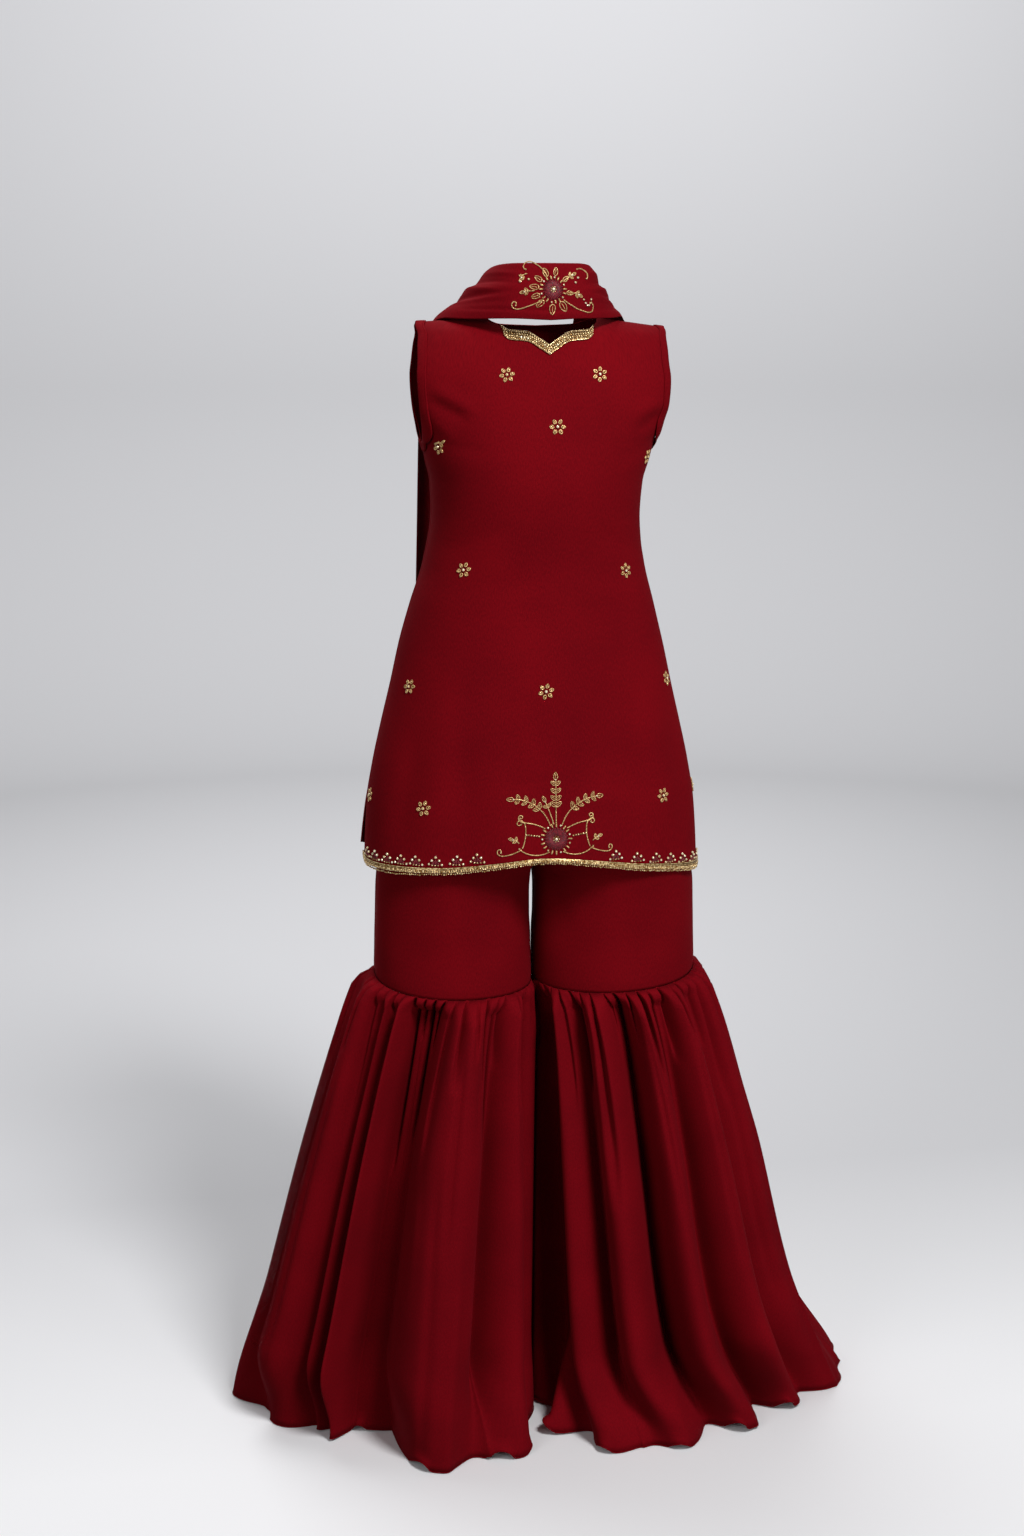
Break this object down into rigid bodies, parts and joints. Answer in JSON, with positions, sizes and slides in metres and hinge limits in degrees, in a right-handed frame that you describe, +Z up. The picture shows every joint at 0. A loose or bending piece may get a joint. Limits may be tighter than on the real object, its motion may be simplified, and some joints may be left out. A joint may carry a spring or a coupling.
{
  "type": "gharara suit",
  "caption": "Worn gharara suit, hollow: sleeveless tunic with side slits, trousers with wide skirts gathered on at the knees, and a scarf laid round the throat.",
  "frame": {"origin": "midway between the two shoulder seams, at the height where they meet the neck, where the wearer's shoulders carry the suit", "axes": "+Z up the wearer, -Y the way the wearer faces, +X towards the wearer's left"},
  "size_m": [0.8641, 0.4213, 1.5466],
  "materials": {
    "crepe": "matt crepe with a fine pebbled grain",
    "georgette": "sheer georgette, matt, darker where it lies in layers",
    "bead_trim": "rows of antique gold beads and sequins",
    "gold_thread": "coiled gold embroidery thread, satin",
    "red_thread": "satin stitch in red thread"
  },
  "bodies": {
    "root": {"kurta_front": "crepe", "kurta_back": "crepe", "armhole_band_right": "crepe", "armhole_band_left": "crepe", "neck_trim": "bead_trim", "hem_trim": "bead_trim", "gharara_waistband": "crepe", "leg_right_front": "crepe", "leg_right_back": "crepe", "leg_left_front": "crepe", "leg_left_back": "crepe", "flare_right_front": "georgette", "flare_right_back": "georgette", "flare_left_front": "georgette", "flare_left_back": "georgette", "dupatta_fall_right": "georgette", "dupatta_throat": "georgette", "dupatta_fall_left": "georgette"}
  },
  "joints": []
}
